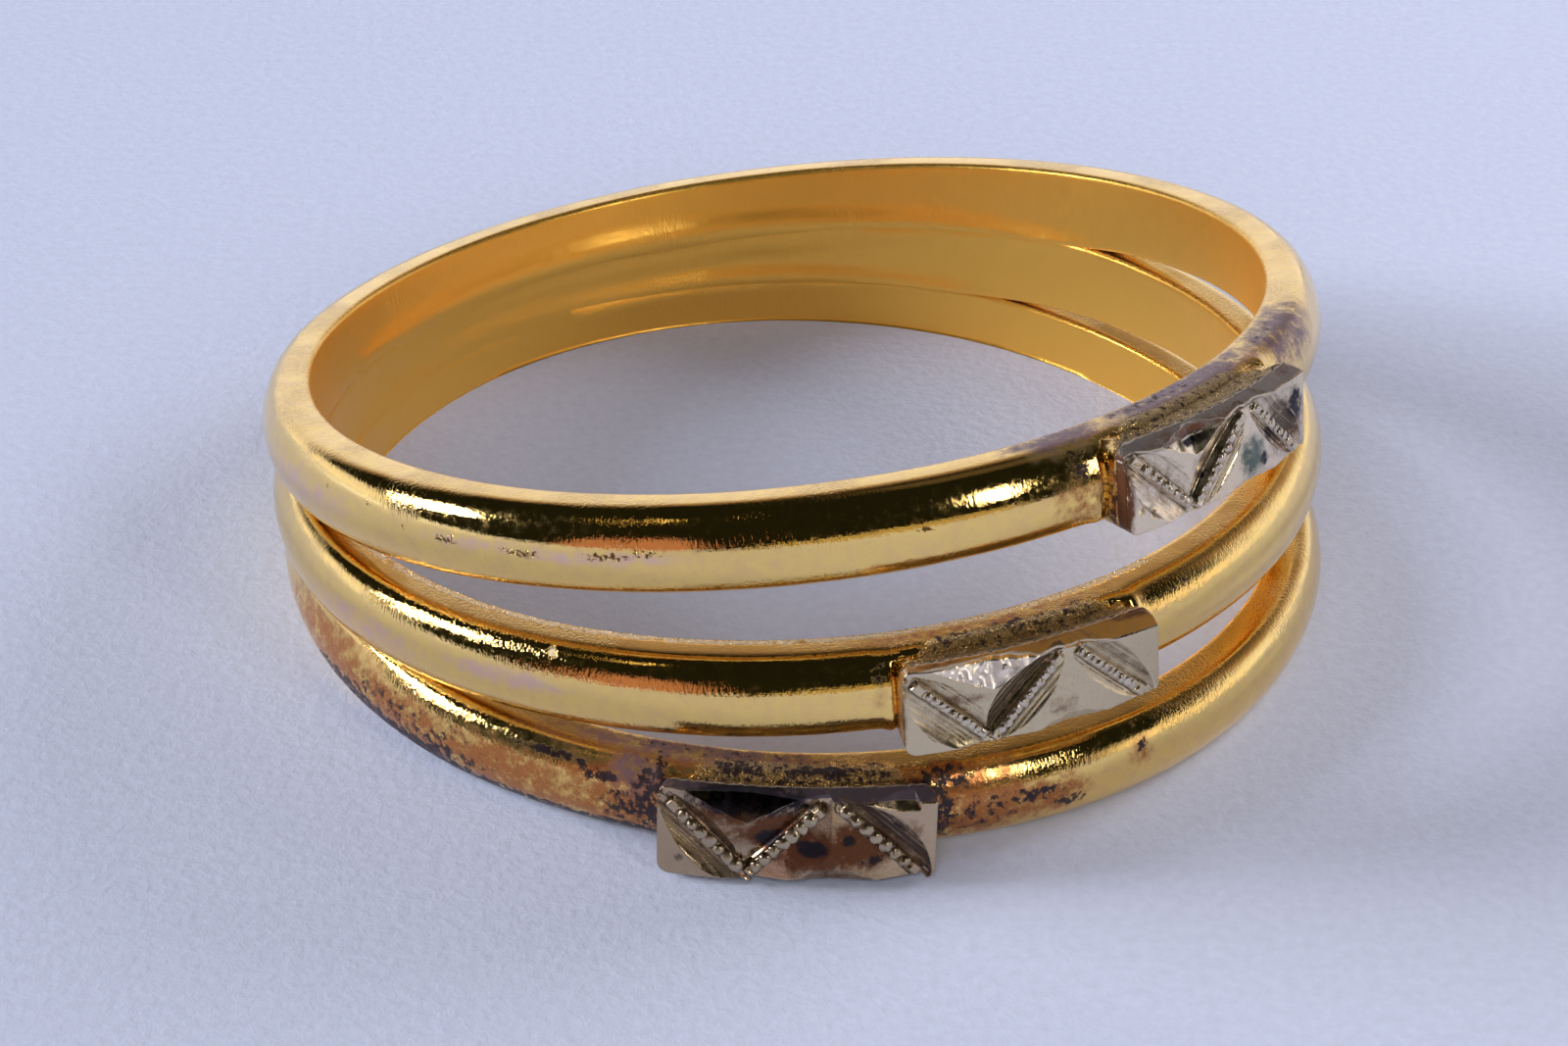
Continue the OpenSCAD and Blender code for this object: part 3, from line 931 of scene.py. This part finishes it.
# Milgrain: rows of beads rolled on the ridges, slightly uneven and worn flat.
bead_sink = 0.058
bead_flat = 0.62
milgrain = bpy.data.node_groups.new("milgrain", "GeometryNodeTree")
SOCKETS = [
    ("Geometry", "NodeSocketGeometry"),
    ("Beads", "NodeSocketInt"),
    ("Radius", "NodeSocketFloat"),
    ("Unevenness", "NodeSocketFloat"),
    ("Seed", "NodeSocketInt"),
    ("Metal", "NodeSocketMaterial"),
]
for name, kind in SOCKETS:
    milgrain.interface.new_socket(name, in_out="INPUT", socket_type=kind)
milgrain.interface.new_socket("Geometry", in_out="OUTPUT", socket_type="NodeSocketGeometry")
given = add(milgrain, "NodeGroupInput").outputs
ball = add(milgrain, "GeometryNodeMeshUVSphere", {"Segments": 14, "Rings": 9, "Radius": given["Radius"]})
smooth_ball = add(milgrain, "GeometryNodeSetShadeSmooth", {"Geometry": ball})
rows = add(milgrain, "GeometryNodeJoinGeometry")
for a0, u0, a1, u1 in BEAD_ROWS:
    line = add(milgrain, "GeometryNodeCurvePrimitiveLine",
               {"Start": (a0, u0, -bead_sink), "End": (a1, u1, -bead_sink)})
    stops = add(milgrain, "GeometryNodeResampleCurve", {"Curve": line, "Count": given["Beads"]})
    milgrain.links.new(stops.outputs[0], rows.inputs[0])
most = add(milgrain, "ShaderNodeMath", [given["Unevenness"], 1.0], operation="ADD")
least = add(milgrain, "ShaderNodeMath", [1.0, given["Unevenness"]], operation="SUBTRACT")
size = add(milgrain, "FunctionNodeRandomValue", {"Min": least, "Max": most, "Seed": given["Seed"]},
           data_type="FLOAT_VECTOR")
worn_size = add(milgrain, "ShaderNodeVectorMath", [size, (1.0, 1.0, bead_flat)], operation="MULTIPLY")
beads = add(milgrain, "GeometryNodeInstanceOnPoints",
            {"Points": rows, "Instance": smooth_ball, "Scale": worn_size})
whole = add(milgrain, "GeometryNodeJoinGeometry")
loose = add(milgrain, "GeometryNodeRealizeInstances", [beads])
milgrain.links.new(loose.outputs[0], whole.inputs[0])
milgrain.links.new(given["Geometry"], whole.inputs[0])
done = add(milgrain, "GeometryNodeSetMaterial", {"Geometry": whole, "Material": given["Metal"]})
add(milgrain, "NodeGroupOutput", [done])

BROWN, SMOKE, STAIN_PIT, GREEN = range(4)
# Columns: name, index of its band, colours of the face, sides, grooves and worn edges, bevel of the
# upper edge on the left and right, dirt in the grooves, chatter of the scoops, beads in a row,
# radius of a bead, seed
# Painted light: the plates are one white gold, but their face colours are made lighter or darker plate by
# plate for how each is lit
PLATES = [
    ("plate_lower", 0, "bca488", "564c56", "443228", "b8a890", (0.07, 0.21), 1.00, 0.003, 7, 0.124, 3),
    ("plate_middle", 1, "d0be9e", "c08a44", "544230", "d4c8b8", (0.03, 0.28), 0.80, 0.022, 10, 0.080, 5),
    ("plate_upper", 2, "ecd9be", "8c8480", "544230", "d4c8b8", (0.24, 0.16), 0.85, 0.003, 8, 0.088, 8),
]
# Columns: film, plate, along, up, half length, half breadth, strength
STAINS = [
    (BROWN, 0, -1.20, 0.36, 0.70, 0.26, 1.10),
    (BROWN, 0, -1.00, 0.02, 0.45, 0.30, 0.80),
    (BROWN, 0, -1.45, -0.35, 0.50, 0.35, 0.55),
    (BROWN, 0, -0.30, 0.06, 0.62, 0.46, 1.50),
    (SMOKE, 0, -0.42, -0.05, 0.34, 0.22, 0.90),
    (BROWN, 0, 0.22, -0.28, 0.70, 0.42, 1.40),
    (SMOKE, 0, 0.25, -0.22, 0.30, 0.17, 1.10),
    (BROWN, 0, 1.05, -0.20, 0.80, 0.46, 1.40),
    (SMOKE, 0, 0.86, -0.08, 0.18, 0.12, 0.85),
    (SMOKE, 0, 1.25, -0.45, 0.40, 0.12, 0.70),
    (SMOKE, 0, 1.62, 0.18, 0.26, 0.14, 0.85),
    (BROWN, 0, 1.70, 0.00, 0.50, 0.40, 0.80),
    (SMOKE, 0, -0.80, 0.62, 1.30, 0.34, 0.95),
    (SMOKE, 0, -1.92, -0.48, 0.16, 0.11, 0.56),
    (BROWN, 0, 0.60, -0.72, 0.90, 0.12, 0.70),
    (BROWN, 1, -1.70, -0.25, 0.40, 0.30, 0.40),
    (BROWN, 1, 0.10, -0.10, 0.50, 0.20, 0.40),
    (BROWN, 1, 0.40, -0.36, 0.45, 0.24, 0.55),
    (BROWN, 1, -1.30, 0.10, 0.60, 0.14, 0.75),
    (BROWN, 1, 1.55, 0.20, 0.40, 0.15, 0.45),
    (SMOKE, 1, 0.30, -0.45, 0.30, 0.10, 0.50),
    (BROWN, 2, -1.50, -0.10, 0.60, 0.50, 0.55),
    (BROWN, 2, -2.45, 0.00, 0.30, 0.90, 1.50),
    (BROWN, 1, -2.45, 0.00, 0.20, 0.90, 1.20),
    (BROWN, 2, -0.50, 0.05, 0.50, 0.40, 0.60),
    (BROWN, 2, 0.10, 0.20, 0.30, 0.30, 0.80),
    (SMOKE, 2, 0.00, 0.00, 0.30, 0.14, 0.80),
    (STAIN_PIT, 2, -0.62, 0.12, 0.12, 0.07, 0.90),
    (STAIN_PIT, 2, -0.42, 0.10, 0.08, 0.06, 0.90),
    (STAIN_PIT, 2, -0.60, -0.22, 0.10, 0.08, 0.90),
    (SMOKE, 2, -0.80, 0.48, 0.60, 0.14, 0.80),
    (GREEN, 2, 0.62, -0.30, 0.45, 0.45, 0.90),
    (SMOKE, 2, 1.30, -0.10, 0.30, 0.25, 0.80),
    (BROWN, 2, 1.70, -0.15, 0.60, 0.60, 1.00),
    (SMOKE, 2, 1.95, 0.15, 0.30, 0.35, 0.85),
    (SMOKE, 2, 0.95, -0.45, 0.25, 0.15, 0.75),
    (BROWN, 2, -0.60, 0.62, 1.50, 0.12, 0.85),
    (GREEN, 2, 1.80, 0.10, 0.50, 0.60, 0.60),
]
bead_unevenness = 0.20
bead_dents = 0.028
unevenness = 0.0025
cut_grain = 0.0016
thinnest = 0.01
for (name, i, tone, side_tone, groove_tone, edge_tone, bevel, groove_dirt, chatter, bead_count, bead_r,
     seed) in PLATES:
    tall = BANDS[i][6]
    flat, faces = block(plate_l, tall, plate_corner, along_columns, up_rows, np.linspace(0, 1, wall_levels))
    level = flat[:, 2].copy()
    cut, scooped, _ = plate_relief(flat[:, 0], flat[:, 1], i, tall, bevel)
    grain_at = np.c_[flat[:, :2], np.full(len(flat), 5.0 * i)]
    cut += unevenness * ripple(grain_at, 0.30) + scooped * chatter * ripple(grain_at, 0.13)
    flat[:, 2] = np.maximum(cut, thinnest - plate_t) * (1 - level) - plate_t * level

    # White gold cut bright by a graver: facets like small mirrors, darker lined grooves with old dirt,
    # pale worn edges and beads, brown and smoky stains from the solder's heat, and on the middle plate a
    # frosted top scoop whose pale colour is partly painted sheen.
    white = bpy.data.materials.new(f"cut_white_gold_{name[6:]}")
    white.use_nodes = True
    metal = white.node_tree
    here = add(metal, "ShaderNodeTexCoord").outputs["Object"]
    brown, smoke, pit, green, wash, worn_edge, dirt, frost_and_sheen = [
        add(metal, "ShaderNodeAttribute", attribute_name=film).outputs["Fac"]
        for film in ("brown", "smoke", "pit", "green", "wash", "worn_edge", "dirt", "frost_and_sheen")]
    patchy = add(metal, "ShaderNodeTexNoise",
                 {"Vector": here, "Scale": 5.0 / mm, "Detail": 4.0, "Roughness": 0.72})
    fine = add(metal, "ShaderNodeTexNoise",
               {"Vector": here, "Scale": 22 / mm, "Detail": 1.0, "Roughness": 0.7})
    polish = add(metal, "ShaderNodeMapRange", {0: patchy, 1: 0.35, 2: 0.7, 3: 0.14, 4: 0.34})
    # Columns as for the gold's films
    layers = [
        (wash, patchy, 1.6, 0.25, 0.95, side_tone, 0.18, -0.50),
        (brown, patchy, 2.2, 0.25, 1.10, "684028", 0.06, -0.20),
        (green, patchy, 1.8, 0.30, 0.90, "6a7468", 0, 0),
        (smoke, patchy, 1.8, 0.40, 0.80, "28242a", 0, 0),
        (pit, patchy, 1.6, 0.45, 0.65, "34283a", 0, 0),
        (dirt, patchy, 1.6, 0.25, 1.30, groove_tone, 0.16, -0.55),
        (worn_edge, patchy, 1.4, 0.30, 1.00, edge_tone, 0.10, 0),
        # Frost: a frosted finish of graver chatter, and painted sheen: its pale colour stands for the bright
        # reflection in the middle plate's top scoop
        (frost_and_sheen, patchy, 1.6, 0.30, 0.90, "f4e8e2", 0.10, -0.45),
    ]
    lay_films(metal, srgb(tone), polish, 1.0, layers)
    bump = add(metal, "ShaderNodeBump", {"Height": fine, "Strength": 1.0, "Distance": cut_grain * mm})
    metal.links.new(bump.outputs[0], metal.nodes["Principled BSDF"].inputs["Normal"])

    raw = new_piece(name + "_raw", flat / mm, faces)
    beading = raw.modifiers.new("milgrain", "NODES")
    beading.node_group = milgrain
    sockets = {item.name: item.identifier for item in milgrain.interface.items_tree if item.in_out == "INPUT"}
    beading[sockets["Beads"]] = bead_count
    beading[sockets["Radius"]] = bead_r
    beading[sockets["Unevenness"]] = bead_unevenness
    beading[sockets["Seed"]] = seed
    beading[sockets["Metal"]] = white
    cut_mesh = bpy.data.meshes.new_from_object(raw.evaluated_get(bpy.context.evaluated_depsgraph_get()))
    raw.modifiers.clear()
    bpy.data.objects.remove(raw)
    count = len(cut_mesh.vertices)
    flat = np.empty(count * 3)
    cut_mesh.vertices.foreach_get("co", flat)
    flat = flat.reshape(-1, 3)
    a = flat[:, 0]
    u = flat[:, 1]
    films = np.zeros((4, count))
    for film, stained, a0, u0, long, broad, strength in STAINS:
        if stained == i:
            off = ((a - a0) / long) ** 2 + ((u - u0) / broad) ** 2
            films[film] = np.maximum(films[film], strength * np.exp(-off ** 1.5))
    rim = to_rim(a, u, tall)
    front = strip_from(a, tall, bevel)
    on_face = flat[:, 2] > -plate_t + 0.02
    on_wall = np.clip((-flat[:, 2] - 0.05) / 0.05, 0, 1) * (rim < 0.004)
    washed = np.maximum(on_wall, np.clip((u - front) / 0.03, 0, 1))
    middle_z, scooped, grooved = plate_relief(a, u, i, tall, bevel)
    around = [plate_relief(a + da, u + du, i, tall, bevel)[0]
              for da, du in ((0.03, 0), (-0.03, 0), (0, 0.03), (0, -0.03))]
    sharp = (middle_z - np.mean(around, 0)) / 0.010 * (rim > 0.03) * on_face
    sharp = np.where((i == 0) & (u > front - 0.04), np.minimum(sharp, 0), sharp)
    on_bead = flat[:, 2] > middle_z + 0.012
    # The bevelled strip of the upper two plates has brown streaks and a pale edge
    streaks = ripple(np.stack([0.25 * a, 2.6 * u, 0 * a + i], 1), 0.30) * (u > front)
    films[BROWN] = np.maximum(films[BROWN], 1.8 * np.clip(streaks, 0, 0.8) * (i > 0))
    strip_edge = 0.9 * np.exp(-((u - front + 0.01) / 0.022) ** 2) * (i > 0) * on_face
    covers = {
        "brown": films[BROWN] * ~on_bead,
        "smoke": films[SMOKE] * ~on_bead,
        "pit": films[STAIN_PIT],
        "green": films[GREEN],
        "wash": washed,
        "worn_edge": np.clip(np.maximum.reduce([sharp, 0.9 * on_bead, strip_edge]), 0, 1),
        "frost_and_sheen": scooped * (i == 1) * (u < front) * ~on_bead,
        "dirt": np.clip(np.maximum(-0.7 * sharp, groove_dirt * grooved), 0, 1.4) * ~on_bead,
    }
    for film, values in covers.items():
        cut_mesh.attributes.new(film, "FLOAT", "POINT").data.foreach_set("value", values.astype(np.float32))
    uneven = np.stack([ripple(flat + [0, 0, 5.0 * i + k], 0.09) for k in (0, 20)], 1)
    flat[:, 1:] += bead_dents * uneven * on_bead[:, None]
    flat[:, 2] += face_r
    cut_mesh.vertices.foreach_set("co", (curl(flat, at_plate(i)) * mm).ravel())
    cut_mesh.update()
    cut_mesh.shade_smooth()
    plate = bpy.data.objects.new(name + "_cut", cut_mesh)
    scene.collection.objects.link(plate)
    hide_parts(name)
    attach(plate, "root")
